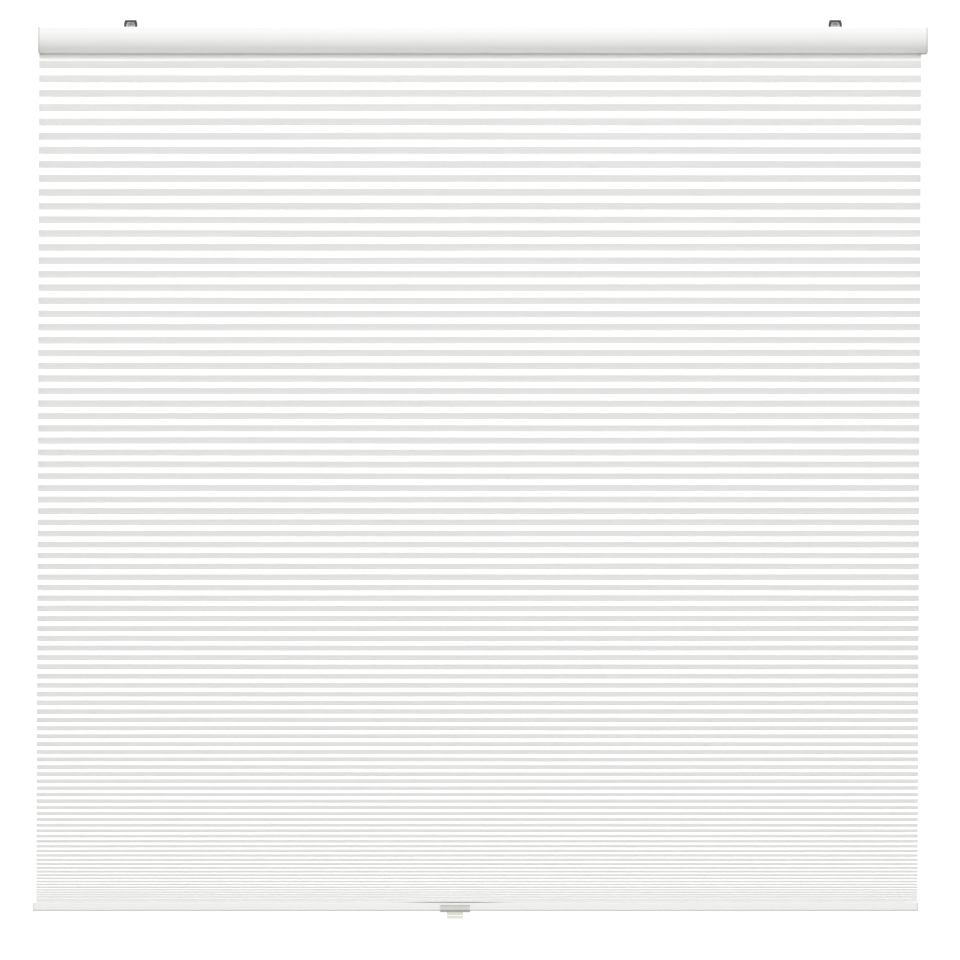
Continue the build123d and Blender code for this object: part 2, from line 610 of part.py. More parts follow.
def motor_cover():
    plate = bar(capsule(SHELL_RADIUS), MOTOR_HIGH, MOTOR_HIGH + MOTOR_WALL)
    through = (MOTOR_HIGH - OVERSHOOT, MOTOR_HIGH + MOTOR_WALL + OVERSHOOT)
    plate -= rod_x(DRUM_JOURNAL_RADIUS + RUNNING_CLEARANCE, through, SHAFT_Y, SHAFT_Z)
    return plate - rod_x(AXLE_RADIUS, through, STORAGE_Y, SHAFT_Z)


def drum(core, y):
    low = MOTOR_CENTRE_X - DRUM_LENGTH / 2
    high = MOTOR_CENTRE_X + DRUM_LENGTH / 2
    body = rod_x(core, (low, high), y, SHAFT_Z)
    for start in (low, high - DRUM_FLANGE):
        body += rod_x(DRUM_FLANGE_RADIUS, (start, start + DRUM_FLANGE), y, SHAFT_Z)
    return body


def output_drum():
    ends = (MOTOR_LOW - MOTOR_WALL, MOTOR_HIGH + MOTOR_WALL)
    body = drum(OUTPUT_CORE_RADIUS, SHAFT_Y) + rod_x(DRUM_JOURNAL_RADIUS, ends, SHAFT_Y, SHAFT_Z)
    return body - square_bore((ends[0] - OVERSHOOT, ends[1] + OVERSHOOT))


def storage_drum():
    bore = rod_x(AXLE_RADIUS + RUNNING_CLEARANCE, (MOTOR_LOW, MOTOR_HIGH), STORAGE_Y, SHAFT_Z)
    return drum(STORAGE_CORE_RADIUS, STORAGE_Y) - bore


def storage_axle():
    return rod_x(AXLE_RADIUS, (MOTOR_LOW - MOTOR_WALL, MOTOR_HIGH + MOTOR_WALL), STORAGE_Y, SHAFT_Z)


def power_spring():
    """Two coils joined by the strip that crosses from the top of one to the bottom of the other."""
    output, storage = coil_radii(FULL_TURNS + 1 - LOWERING_TURNS)
    half = SPRING_WIDTH / 2
    x = (MOTOR_CENTRE_X - half, MOTOR_CENTRE_X + half)
    body = None
    for radius, core, y in (
        (output, OUTPUT_CORE_RADIUS, SHAFT_Y),
        (storage, STORAGE_CORE_RADIUS, STORAGE_Y),
    ):
        coil = rod_x(radius, x, y, SHAFT_Z) - rod_x(core + RUNNING_CLEARANCE, x, y, SHAFT_Z)
        body = coil if body is None else body + coil
    reach = output + storage - 2 * SPRING_THICKNESS
    across = math.acos(reach / DRUM_SPACING)
    run = DRUM_SPACING * math.sin(across)
    middle_y = SHAFT_Y - DRUM_SPACING * (output - SPRING_THICKNESS) / reach
    tape = Rot(-90 + math.degrees(across), 0, 0) * Box(SPRING_WIDTH, run, SPRING_THICKNESS)
    return body + Pos(MOTOR_CENTRE_X, middle_y, SHAFT_Z) * tape


save(motor_base(), "motor_base")
save(motor_cover(), "motor_cover")
save(output_drum(), "output_drum")
save(storage_drum(), "storage_drum")
save(power_spring(), "power_spring")
save(storage_axle(), "storage_axle")


# ---- Handle: one clear moulding that clips round the bottom rail, with a pull tab below its front ----
def handle():
    gap = SEAT_CLEARANCE
    half = HANDLE_WIDTH / 2
    inner_y = BASE_DEPTH / 2 + gap
    outer_y = inner_y + HANDLE_WALL
    inner_low = BASE_BOTTOM - gap
    outer_low = inner_low - HANDLE_WALL
    high = BASE_TOP + gap + HANDLE_HOOK_THICKNESS
    section = area((-outer_y, outer_y), (outer_low, high))
    section -= area((-inner_y, inner_y), (inner_low, BASE_TOP + gap))
    section -= area((-inner_y + HANDLE_HOOK, inner_y - HANDLE_HOOK), (inner_low, high + OVERSHOOT))
    clip = bar(section, -half, half)
    skirt_low = outer_low - HANDLE_SKIRT
    front = (-outer_y, -inner_y)
    clip += block((-half, half), front, (skirt_low, outer_low))
    tab_low = skirt_low - TAB_LENGTH + TAB_WIDTH / 2
    tab = block((-TAB_WIDTH / 2, TAB_WIDTH / 2), front, (tab_low, skirt_low))
    round_end = Rot(90, 0, 0) * Cylinder(TAB_WIDTH / 2, HANDLE_WALL)
    tab += Pos(0, sum(front) / 2, tab_low) * round_end
    return Pos(HANDLE_X, 0, 0) * (clip + tab)


save(handle(), "handle")
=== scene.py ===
import json
import math

import bpy
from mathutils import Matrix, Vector, noise


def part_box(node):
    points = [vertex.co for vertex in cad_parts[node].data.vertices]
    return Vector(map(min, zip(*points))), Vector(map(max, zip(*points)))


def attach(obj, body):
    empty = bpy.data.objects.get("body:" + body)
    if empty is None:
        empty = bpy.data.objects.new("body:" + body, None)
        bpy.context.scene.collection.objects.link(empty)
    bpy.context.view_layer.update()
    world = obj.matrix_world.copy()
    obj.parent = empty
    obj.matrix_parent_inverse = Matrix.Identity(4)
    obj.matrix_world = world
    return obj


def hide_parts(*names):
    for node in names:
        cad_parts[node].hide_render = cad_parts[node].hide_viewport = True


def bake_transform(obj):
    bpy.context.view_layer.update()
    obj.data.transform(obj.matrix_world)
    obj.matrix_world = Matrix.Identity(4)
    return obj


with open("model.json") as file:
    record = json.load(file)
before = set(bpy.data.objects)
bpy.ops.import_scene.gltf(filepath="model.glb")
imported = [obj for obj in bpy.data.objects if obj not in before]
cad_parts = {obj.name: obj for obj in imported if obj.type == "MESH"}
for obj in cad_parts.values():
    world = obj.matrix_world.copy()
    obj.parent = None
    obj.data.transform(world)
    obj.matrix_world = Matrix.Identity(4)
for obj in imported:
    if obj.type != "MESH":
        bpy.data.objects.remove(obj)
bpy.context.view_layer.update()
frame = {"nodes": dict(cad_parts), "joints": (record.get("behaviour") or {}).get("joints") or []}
nodes = frame["nodes"]


# ---- Camera, light and floor ----
# The blind hangs in an open white studio, seen level and square on through a long lens. Soft light
# comes from above and in front, so that every face that looks up is brighter than one that looks down.
MM = 0.001
scene = bpy.context.scene
scene.view_settings.view_transform = "Standard"

camera_distance = 20.0
camera_height = -1.144
field_width = 1.294  # of the view, at the blind
aim = Vector((-0.004, 0.0, -0.620))
sensor = 36.0
camera = bpy.data.objects.new("camera", bpy.data.cameras.new("camera"))
camera.data.sensor_width = sensor
camera.data.lens = sensor * camera_distance / field_width
camera.data.clip_end = 200.0
camera.location = (aim.x, -camera_distance, camera_height)
camera.rotation_mode = "QUATERNION"
camera.rotation_quaternion = (aim - camera.location).to_track_quat("-Z", "Y")
scene.collection.objects.link(camera)
scene.camera = camera


def linear(colour):
    """The linear RGBA of an sRGB colour written as #RRGGBB."""
    parts = [int(colour[i : i + 2], 16) / 255 for i in (1, 3, 5)]
    return [p / 12.92 if p <= 0.04045 else ((p + 0.055) / 1.055) ** 2.4 for p in parts] + [1.0]


def add(tree, kind, inputs=None, **settings):
    """Adds a shader node to a tree, with its settings, its values and its links."""
    new = tree.nodes.new("ShaderNode" + kind)
    for name, value in settings.items():
        setattr(new, name, value)
    for name, value in (inputs or {}).items():
        if isinstance(value, bpy.types.NodeSocket):
            tree.links.new(value, new.inputs[name])
        else:
            new.inputs[name].default_value = value
    return new


ground = (-0.25, -0.03)  # how steeply down the studio is its darkest, and where it reaches full light
ground_light = 0.3
ceiling = (0.42, 0.9)  # how steeply up the walls end, and where the ceiling is its darkest
wall_light = 1.13
ceiling_light = 0.4
world = bpy.data.worlds.new("open white studio")
world.use_nodes = True
sky = world.node_tree
up = add(sky, "SeparateXYZ", {"Vector": add(sky, "TexCoord").outputs["Generated"]}).outputs["Z"]
below = add(
    sky, "MapRange", {"Value": up, "From Min": ground[0], "From Max": ground[1], "To Min": ground_light}
)
above = add(
    sky,
    "MapRange",
    {
        "Value": up,
        "From Min": ceiling[0],
        "From Max": ceiling[1],
        "To Min": wall_light,
        "To Max": ceiling_light,
    },
)
level = add(sky, "Math", {0: below.outputs["Result"], 1: above.outputs["Result"]}, operation="MULTIPLY")
sky.links.new(level.outputs["Value"], sky.nodes["Background"].inputs["Strength"])
sky.nodes["Background"].inputs["Color"].default_value = linear("#FFFFFF")
scene.world = world

softbox_aim = Vector((0.0, 0.0, -0.7))
softbox = bpy.data.objects.new("softbox", bpy.data.lights.new("softbox", "AREA"))
softbox.data.shape = "RECTANGLE"
softbox.data.size = 3.2
softbox.data.size_y = 1.6
softbox.data.energy = 19.0
softbox.data.spread = math.radians(70)
softbox.location = (0.0, -2.1, 2.9)
softbox.rotation_mode = "QUATERNION"
softbox.rotation_quaternion = (softbox_aim - softbox.location).to_track_quat("-Z", "Y")
scene.collection.objects.link(softbox)

floor_level = -2.1
floor_reach = 60.0
corners = [
    (x * floor_reach, y * floor_reach, floor_level) for x, y in ((-1, -1), (1, -1), (1, 1), (-1, 1))
]
floor_mesh = bpy.data.meshes.new("floor")
floor_mesh.from_pydata(corners, [], [(0, 1, 2, 3)])
floor = bpy.data.objects.new("floor", floor_mesh)
scene.collection.objects.link(floor)


def start_material(name):
    """A new material, its node tree and its Principled surface."""
    material = bpy.data.materials.new(name)
    material.use_nodes = True
    tree = material.node_tree
    return material, tree, tree.nodes["Principled BSDF"]


floor_paint, tree, surface = start_material("matt floor paint")
surface.inputs["Base Color"].default_value = linear("#CECECC")
surface.inputs["Roughness"].default_value = 0.9
from_below = add(tree, "NewGeometry").outputs["Backfacing"]
nothing = add(tree, "BsdfTransparent").outputs["BSDF"]
see_through = add(tree, "MixShader", {0: from_below, 1: surface.outputs["BSDF"], 2: nothing})
tree.links.new(see_through.outputs["Shader"], tree.nodes["Material Output"].inputs["Surface"])
floor.data.materials.append(floor_paint)


# ---- Head rail: extruded aluminium, powder-coated white ----
# One long extrusion, open on top, with a front that curves under and a T-shaped channel below. The
# coat gives it a satin surface with a faint orange peel and no metal showing.
def millimetres(tree, x=1.0, y=1.0, z=1.0):
    """The piece's own place in millimetres, each axis divided by the pattern's size along it."""
    place = add(tree, "TexCoord").outputs["Object"]
    scale = (1 / (x * MM), 1 / (y * MM), 1 / (z * MM))
    return add(tree, "Mapping", {"Vector": place, "Scale": scale}).outputs["Vector"]


def wear(node_name, material):
    """Gives a CAD piece its finish."""
    mesh = nodes[node_name].data
    mesh.materials.clear()
    mesh.materials.append(material)


powder_coat, tree, surface = start_material("satin white powder coat")
peel_mm = 2.5  # real orange peel is about 1 mm across, too fine to show
die_line_mm = (400.0, 1.2, 1.2)  # the extrusion's lines under the coat, long and thin
peel = add(tree, "TexNoise", {"Vector": millimetres(tree, peel_mm, peel_mm, peel_mm), "Scale": 1.0})
die_lines = add(tree, "TexNoise", {"Vector": millimetres(tree, *die_line_mm), "Scale": 1.0, "Detail": 3.0})
relief = add(tree, "Math", {0: peel.outputs["Fac"], 1: die_lines.outputs["Fac"]}, operation="ADD")
bump = add(tree, "Bump", {"Height": relief.outputs["Value"], "Distance": 0.03 * MM, "Strength": 0.35})
tone = add(
    tree,
    "Mix",
    {0: die_lines.outputs["Fac"], 6: linear("#F0F0EE"), 7: linear("#F4F4F3")},
    data_type="RGBA",
)
gloss = add(tree, "MapRange", {"Value": peel.outputs["Fac"], "To Min": 0.36, "To Max": 0.46})
tree.links.new(tone.outputs[2], surface.inputs["Base Color"])
tree.links.new(gloss.outputs["Result"], surface.inputs["Roughness"])
tree.links.new(bump.outputs["Normal"], surface.inputs["Normal"])
wear("head_rail", powder_coat)


# ---- Head rail end caps: injection-moulded ABS ----
# A plate with a rounded rim and a hollow plug pushed into the rail's end, in the rail's white with
# the fine even texture of a spark-eroded mould.
moulded_abs, tree, surface = start_material("white moulded ABS")
grain_mm = 1.0  # the mould's texture is about 0.1 mm, drawn coarser
grain = add(
    tree, "TexNoise", {"Vector": millimetres(tree, grain_mm, grain_mm, grain_mm), "Scale": 1.0, "Detail": 4.0}
)
bump = add(tree, "Bump", {"Height": grain.outputs["Fac"], "Distance": 0.02 * MM, "Strength": 0.3})
tone = add(
    tree, "Mix", {0: grain.outputs["Fac"], 6: linear("#DEDEDC"), 7: linear("#E4E4E3")}, data_type="RGBA"
)
gloss = add(tree, "MapRange", {"Value": grain.outputs["Fac"], "To Min": 0.42, "To Max": 0.55})
surface.inputs["IOR"].default_value = 1.53
tree.links.new(tone.outputs[2], surface.inputs["Base Color"])
tree.links.new(gloss.outputs["Result"], surface.inputs["Roughness"])
tree.links.new(bump.outputs["Normal"], surface.inputs["Normal"])
for name in ("head_cap_left", "head_cap_right", "bottom_cap_left", "bottom_cap_right"):
    wear(name, moulded_abs)


# ---- Ceiling brackets: pressed spring steel, zinc-plated ----
# Each is a plate screwed to the ceiling, with two flaring front legs whose toes carry the rail's
# front lip. The plating is bright behind the front skirt, with the strip's rolling lines; the skirt itself is
# painted dark, a painted reflection of dark surroundings.
plated_steel, tree, surface = start_material("zinc-plated spring steel, painted dark reflection in front")
rolling_mm = (3.0, 0.3, 0.3)  # along the blind and across it, coarser than the real lines
skirt_back = -13.7  # where the front skirt ends, in millimetres
skirt_blend = 0.1
rolling = add(tree, "TexNoise", {"Vector": millimetres(tree, *rolling_mm), "Scale": 1.0, "Detail": 3.0})
# Painted dark reflection for the front skirt, with the same rolling lines.
painted_dark_reflection = add(
    tree, "Mix", {0: rolling.outputs["Fac"], 6: linear("#47484A"), 7: linear("#606163")}, data_type="RGBA"
)
bright_zinc = add(
    tree, "Mix", {0: rolling.outputs["Fac"], 6: linear("#E6E7E8"), 7: linear("#F2F3F3")}, data_type="RGBA"
)
# Behind the skirt's back edge the painted dark reflection gives way to the bright zinc.
depth = add(tree, "SeparateXYZ", {"Vector": millimetres(tree)})
behind = add(
    tree,
    "MapRange",
    {
        "Value": depth.outputs["Y"],
        "From Min": skirt_back - skirt_blend,
        "From Max": skirt_back + skirt_blend,
    },
)
tone = add(
    tree,
    "Mix",
    {0: behind.outputs["Result"], 6: painted_dark_reflection.outputs[2], 7: bright_zinc.outputs[2]},
    data_type="RGBA",
)
gloss = add(tree, "MapRange", {"Value": rolling.outputs["Fac"], "To Min": 0.28, "To Max": 0.48})
bump = add(tree, "Bump", {"Height": rolling.outputs["Fac"], "Distance": 0.02 * MM, "Strength": 0.3})
surface.inputs["Metallic"].default_value = 1.0
tree.links.new(tone.outputs[2], surface.inputs["Base Color"])
tree.links.new(gloss.outputs["Result"], surface.inputs["Roughness"])
tree.links.new(bump.outputs["Normal"], surface.inputs["Normal"])
for name in ("bracket_left", "bracket_right"):
    wear(name, plated_steel)


# ---- Release latches: moulded acetal ----
# A slide between the bracket's cheeks, with a nose under the rail's rear lip and a pad for a finger.
# Acetal is a waxy, slightly translucent white.
acetal, tree, surface = start_material("natural white acetal")
cloud_mm = 4.0  # from one cloudy patch in the plastic to the next
cloud = add(tree, "TexNoise", {"Vector": millimetres(tree, cloud_mm, cloud_mm, cloud_mm), "Scale": 1.0})
tone = add(
    tree, "Mix", {0: cloud.outputs["Fac"], 6: linear("#F1F2F0"), 7: linear("#F8F9F7")}, data_type="RGBA"
)
gloss = add(tree, "MapRange", {"Value": cloud.outputs["Fac"], "To Min": 0.28, "To Max": 0.38})
surface.inputs["IOR"].default_value = 1.48
tree.links.new(tone.outputs[2], surface.inputs["Base Color"])
tree.links.new(gloss.outputs["Result"], surface.inputs["Roughness"])
for name in ("latch_left", "latch_right"):
    wear(name, acetal)


# ---- Drive shaft, spools and cradles ----
# A square steel bar runs through three moulded bobbins, each in a seat that snaps over its journals.
# The bar is cold drawn and zinc-plated, a bright grey with fine lines along it. The bobbins are acetal
# and the seats ABS.
drawn_steel, tree, surface = start_material("cold-drawn zinc-plated steel")
drawing_mm = (40.0, 0.25, 0.25)  # the die's lines, long and thin along the bar
drawing = add(tree, "TexNoise", {"Vector": millimetres(tree, *drawing_mm), "Scale": 1.0, "Detail": 2.0})
tone = add(
    tree, "Mix", {0: drawing.outputs["Fac"], 6: linear("#9DA0A3"), 7: linear("#BFC2C4")}, data_type="RGBA"
)
gloss = add(tree, "MapRange", {"Value": drawing.outputs["Fac"], "To Min": 0.22, "To Max": 0.4})
surface.inputs["Metallic"].default_value = 1.0
tree.links.new(tone.outputs[2], surface.inputs["Base Color"])
tree.links.new(gloss.outputs["Result"], surface.inputs["Roughness"])
wear("drive_shaft", drawn_steel)
wear("storage_axle", drawn_steel)
stations = ("left", "middle", "right")
for station in stations:
    wear(f"spool_{station}", acetal)
    wear(f"cradle_{station}", moulded_abs)
    wear(f"cord_anchor_{station}", moulded_abs)


# ---- Spring motor ----
# Two acetal drums in a matt grey ABS shell share one tempered steel spring, which winds from one drum
# to the other as the blind moves and balances its weight. Tempering leaves it blue-grey and glossy.
housing_abs, tree, surface = start_material("light grey moulded ABS")
mould_mm = 1.0  # about 0.1 mm in life, drawn coarser
mould = add(
    tree, "TexNoise", {"Vector": millimetres(tree, mould_mm, mould_mm, mould_mm), "Scale": 1.0, "Detail": 4.0}
)
tone = add(
    tree, "Mix", {0: mould.outputs["Fac"], 6: linear("#BFC1C2"), 7: linear("#C9CBCC")}, data_type="RGBA"
)
bump = add(tree, "Bump", {"Height": mould.outputs["Fac"], "Distance": 0.02 * MM, "Strength": 0.3})
surface.inputs["IOR"].default_value = 1.53
surface.inputs["Roughness"].default_value = 0.5
tree.links.new(tone.outputs[2], surface.inputs["Base Color"])
tree.links.new(bump.outputs["Normal"], surface.inputs["Normal"])
wear("motor_base", housing_abs)
wear("motor_cover", housing_abs)
wear("output_drum", acetal)
wear("storage_drum", acetal)

spring_steel, tree, surface = start_material("tempered spring steel")
temper_mm = (6.0, 0.4, 0.4)  # the strip's rolling lines, coarser than the real ones
temper = add(tree, "TexNoise", {"Vector": millimetres(tree, *temper_mm), "Scale": 1.0})
tone = add(
    tree, "Mix", {0: temper.outputs["Fac"], 6: linear("#5C6470"), 7: linear("#7F8894")}, data_type="RGBA"
)
surface.inputs["Metallic"].default_value = 1.0
surface.inputs["Roughness"].default_value = 0.25
tree.links.new(tone.outputs[2], surface.inputs["Base Color"])
wear("power_spring", spring_steel)


# ---- Lift cords: braided polyester ----
# Three white cords, 1.2 mm thick, run straight from the spools through every cell to plugs in the
# bottom rail. The turns on each spool are the same cord, and its braid gives it a fine slanted relief.
cord_diameter = 1.2 * MM
cord_sides = 12
braid, tree, surface = start_material("white braided polyester cord")
strand_mm = 0.6  # along the cord, from one strand to the next
place = millimetres(tree, strand_mm, strand_mm, strand_mm)
weave = add(tree, "TexWave", {"Vector": place, "Scale": 0.5, "Distortion": 0.6}, bands_direction="DIAGONAL")
tone = add(
    tree, "Mix", {0: weave.outputs["Fac"], 6: linear("#DCDCD9"), 7: linear("#F2F2F0")}, data_type="RGBA"
)
bump = add(tree, "Bump", {"Height": weave.outputs["Fac"], "Distance": 0.08 * MM, "Strength": 0.6})
surface.inputs["Roughness"].default_value = 0.8
surface.inputs["Sheen Weight"].default_value = 0.2
tree.links.new(tone.outputs[2], surface.inputs["Base Color"])
tree.links.new(bump.outputs["Normal"], surface.inputs["Normal"])


def new_piece(name, points, faces, material):
    """A mesh piece in the row frame."""
    mesh = bpy.data.meshes.new(name)
    mesh.from_pydata(points, [], faces)
    mesh.materials.append(material)
    mesh.update()
    piece = bpy.data.objects.new(name, mesh)
    scene.collection.objects.link(piece)
    return piece


cord_radius = cord_diameter / 2
turn = [math.tau * i / cord_sides for i in range(cord_sides)]
sides = [
    (i, cord_sides + i, cord_sides + (i + 1) % cord_sides, (i + 1) % cord_sides) for i in range(cord_sides)
]
ends = [tuple(range(cord_sides)), tuple(range(2 * cord_sides - 1, cord_sides - 1, -1))]
for station in stations:
    low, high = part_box(f"lift_cord_{station}")
    middle = (low + high) / 2
    points = [
        (middle.x + cord_radius * math.cos(a), middle.y + cord_radius * math.sin(a), z)
        for z in (high.z, low.z)
        for a in turn
    ]
    cord = new_piece(f"cord_{station}", points, sides + ends, braid)
    for face in cord.data.polygons[:cord_sides]:
        face.use_smooth = True
    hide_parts(f"lift_cord_{station}")
    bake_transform(cord)
    wear(f"winding_{station}", braid)


# ---- Fabric: tubes of nonwoven polyester, glued one under another ----
# Each cell is a strip of soft white nonwoven, creased along its front and back and closed with a glued
# seam on top. The upper cells hang open under the weight below, and the lowest lie nearly shut. The
# cloth is matt, with faint streaks along it where the web is thicker.
cell_face = 11.0 * MM  # from a glue line to a fold
glue_half = 2.75 * MM  # half the glued strip between two cells
cloth = 0.3 * MM
stack_pitch = 1.0 * MM  # of the slack cells just above the bottom rail
mean_opening = 1.095  # mean pitch of the hung cells, in face lengths
stretch = 1.2  # how sharply the pitch levels off towards the top

nonwoven, tree, surface = start_material("white nonwoven polyester")
uv = add(tree, "UVMap", uv_map="cloth").outputs["UV"]
streak_mm = (60.0, 2.5)  # the web's thick and thin places, drawn out along the cloth
fibre_mm = (3.0, 0.8)  # fibres are 0.02 mm, drawn much coarser


def on_cloth(length_mm, width_mm):
    """The place on the flat cloth, divided by the pattern's size along it and across it."""
    scale = (1 / (length_mm * MM), 1 / (width_mm * MM), 1.0)
    return add(tree, "Mapping", {"Vector": uv, "Scale": scale}).outputs["Vector"]


streaks = add(tree, "TexNoise", {"Vector": on_cloth(*streak_mm), "Scale": 1.0, "Detail": 3.0})
fibres = add(tree, "TexNoise", {"Vector": on_cloth(*fibre_mm), "Scale": 1.0, "Detail": 5.0})
tone = add(
    tree, "Mix", {0: streaks.outputs["Fac"], 6: linear("#FAFAF9"), 7: linear("#FDFDFC")}, data_type="RGBA"
)
bump = add(tree, "Bump", {"Height": fibres.outputs["Fac"], "Distance": 0.1 * MM, "Strength": 0.3})
surface.inputs["Roughness"].default_value = 0.95
surface.inputs["Specular IOR Level"].default_value = 0.25
surface.inputs["Sheen Weight"].default_value = 0.15
surface.inputs["Sheen Roughness"].default_value = 0.5
tree.links.new(tone.outputs[2], surface.inputs["Base Color"])
tree.links.new(bump.outputs["Normal"], surface.inputs["Normal"])
# The cells' insides get a faint painted glow, standing in for daylight coming through the cloth.
painted_glow_cloth = nonwoven.copy()  # the cells' insides, which daylight reaches through the cloth
painted_glow_cloth.name = "white nonwoven polyester, painted glow"
painted_glow_cloth.cycles.emission_sampling = "NONE"
painted_glow_surface = next(n for n in painted_glow_cloth.node_tree.nodes if n.type == "BSDF_PRINCIPLED")
# The painted glow: a weak emission in the cloth's own white.
painted_glow_surface.inputs["Emission Color"].default_value = linear("#FAFAF9")
painted_glow_surface.inputs["Emission Strength"].default_value = 0.1

fabric_low, fabric_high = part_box("fabric")
cells_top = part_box("head_rail")[0].z
hook_gap = 0.9 * MM  # the handle's hooks lie between the lowest cell and the bottom rail
cells_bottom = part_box("bottom_rail")[1].z + hook_gap
cells_height = cells_top - cells_bottom
cell_count = round(cells_height / (mean_opening * cell_face))
growth = [math.tanh(stretch * j / (cell_count - 1)) for j in range(cell_count)]
share = (cells_height - cell_count * stack_pitch) / sum(growth)
pitches = [stack_pitch + share * g for g in reversed(growth)]
glue_levels = [cells_top]
for pitch in pitches:
    glue_levels.append(glue_levels[-1] - pitch)

fabric_left, fabric_right = fabric_low.x, fabric_high.x
fabric_width = fabric_right - fabric_left
left_drift = (0.9 * MM, -2.1 * MM)  # each edge of the hung cloth wanders sideways on its way down
right_drift = (4.7 * MM, -1.4 * MM)
handle_low, handle_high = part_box("handle")
handle_middle = (handle_low.x + handle_high.x) / 2
handle_half = (handle_high.x - handle_low.x) / 2
steps_along = 60
wave_step = 7.3  # between two levels in the noise, so that each level wanders its own way
wave_length = 0.36
glue_wander = 0.3 * MM  # how far a glue line strays from its level
face_wander = 0.25 * MM
fold_wander = 0.5 * MM
glue_seed = 1.0
face_seed = 3.0
fold_seed = 6.0
loose_pitch = 10 * MM  # a cell that hangs further open than this is as uneven as it gets
fold_slope = math.radians(60)  # of the faces beside a fold, at least
steepest = 0.985  # the sine of the steepest slope that a drawn-out face takes
least_flat = 0.3 * MM
fold_radius = 0.4 * MM
neighbour_gap = 0.12 * MM  # half the gap between two faces that lie on each other
lining_steps = (0.0, 0.4, 0.75, 0.9, 1.0)  # down a sloping face's inside, closer towards the fold
settled = 12  # the lowest glue lines drop on to the bottom rail, away from the handle's hooks
settle_drop = 0.8 * MM
settle_run = 60 * MM
stack_tuck = 0.8 * MM  # how far the lowest folds stay back


def drift(x, z):
    down = (cells_top - z) / cells_height
    across = (x - fabric_left) / fabric_width
    left, right = (high + (low - high) * down for high, low in (left_drift, right_drift))
    return left + (right - left) * across


def slack(x, level, amount, seed):
    """A slow wander of up to an amount along the blind, its own for each level."""
    return amount * noise.noise(Vector((x / wave_length, level * wave_step, seed)))


def settle(x, level):
    """How far a glue line drops towards the bottom rail."""
    above = cell_count - level
    if above > settled:
        return 0.0
    away = min(1.0, max(0.0, (abs(x - handle_middle) - handle_half) / settle_run))
    smooth = away * away * (3 - 2 * away)
    return -settle_drop * smooth * (1 - above / settled)


def glue_line(level, x):
    """The height of a glue line, which wanders a little between the blind's two rails."""
    wander = 0.0
    if 0 < level < cell_count:
        wander = slack(x, level, glue_wander * min(1.0, pitches[level] / loose_pitch), glue_seed)
    return glue_levels[level] + wander + settle(x, level)


def cell_rings(k, x):
    """The outside and the inside of cell k's section at x, as points from the front glue edge round.

    Each face lies flat against its neighbour beside the glue, then slopes away to the fold.
    """
    ease = min(1.0, pitches[k] / loose_pitch)
    top, low = glue_line(k, x), glue_line(k + 1, x)
    rise = (top - low) / 2
    tuck = stack_tuck * max(0.0, 1 - (cell_count - k) / settled)
    outer, inner = [], []
    for side in (-1, 1):
        face = cell_face + slack(x, k, face_wander * ease, face_seed + side) - tuck
        off_middle = slack(x, k, fold_wander * ease, fold_seed + side)
        slope = math.asin(min(steepest, max(math.sin(fold_slope), rise / face)))
        flat = max(least_flat, face - rise / math.sin(slope))
        gap = min(neighbour_gap, 0.1 * rise)
        nose = min(fold_radius, 0.6 * rise)
        shoulder = rise - gap
        knee = nose * math.cos(slope)
        bend = flat + (shoulder - knee) / math.tan(slope)
        tip = bend + nose * (1 - math.sin(slope))
        turn = (slope + math.pi / 2) / 2
        half_out = [
            (0.0, rise),
            (flat / 2, rise - gap / 4),
            (flat, shoulder),
            ((flat + bend) / 2, (shoulder + knee) / 2),
            (bend, knee),
            (tip - nose * (1 - math.sin(turn)), nose * math.cos(turn)),
            (tip, 0.0),
        ]
        flat_in = flat - cloth * math.tan(slope / 2)
        shoulder_in = max(shoulder - cloth, 0.3 * shoulder)
        tip_in = flat_in + shoulder_in / math.tan(slope)
        half_in = [(0.0, rise - cloth), (flat_in / 2, rise - gap / 4 - cloth)]
        for part in lining_steps:
            half_in.append((flat_in + (tip_in - flat_in) * part, shoulder_in * (1 - part)))
        for half, ring in ((half_out, outer), (half_in, inner)):
            section = []
            for way, edge in ((1, top), (-1, low)):
                points = []
                for out, high in half:
                    shift = off_middle * (1 - high / rise)
                    points.append((glue_half + out, edge - way * (rise - high) + shift))
                section += points if way == 1 else points[-2::-1]
            if side == 1:
                section.reverse()
            ring += [(side * y, z) for y, z in section]
    return outer, inner


def tube(name, rings, along, seam, lining):
    """A closed skin of cloth: an outside and an inside that meet at both cut ends, with its cloth map."""
    count = len(rings[0][0])
    points, map_u, map_v = [], [], []
    for x, (outer, inner) in zip(along, rings):
        around = 0.0
        lengths = []
        for i, (y, z) in enumerate(outer):
            if i:
                around += math.hypot(y - outer[i - 1][0], z - outer[i - 1][1])
            lengths.append(around)
        for section in (outer, inner):
            for i, (y, z) in enumerate(section):
                points.append((x + drift(x, z), y, z))
                map_u.append(x)
                map_v.append(seam + lengths[i])
    row = 2 * count
    faces = []
    for s in range(len(along) - 1):
        for i in range(count):
            j = (i + 1) % count
            a, b = s * row + i, s * row + j
            faces.append((a, b, b + row, a + row))
            a, b = a + count, b + count
            faces.append((a, a + row, b + row, b))
    last = (len(along) - 1) * row
    for i in range(count):
        j = (i + 1) % count
        faces.append((i, i + count, j + count, j))
        faces.append((last + i, last + j, last + j + count, last + i + count))
    piece = new_piece(name, points, faces, nonwoven)
    mesh = piece.data
    # The inside faces take the lining, which for the cells is the cloth with a painted glow.
    mesh.materials.append(lining)
    for n in range(1, 2 * count * (len(along) - 1), 2):
        mesh.polygons[n].material_index = 1
    layer = mesh.uv_layers.new(name="cloth")
    for loop in mesh.loops:
        layer.data[loop.index].uv = (map_u[loop.vertex_index], map_v[loop.vertex_index])
    mesh.shade_smooth()
    mesh.set_sharp_from_angle(angle=math.radians(35))
    return piece


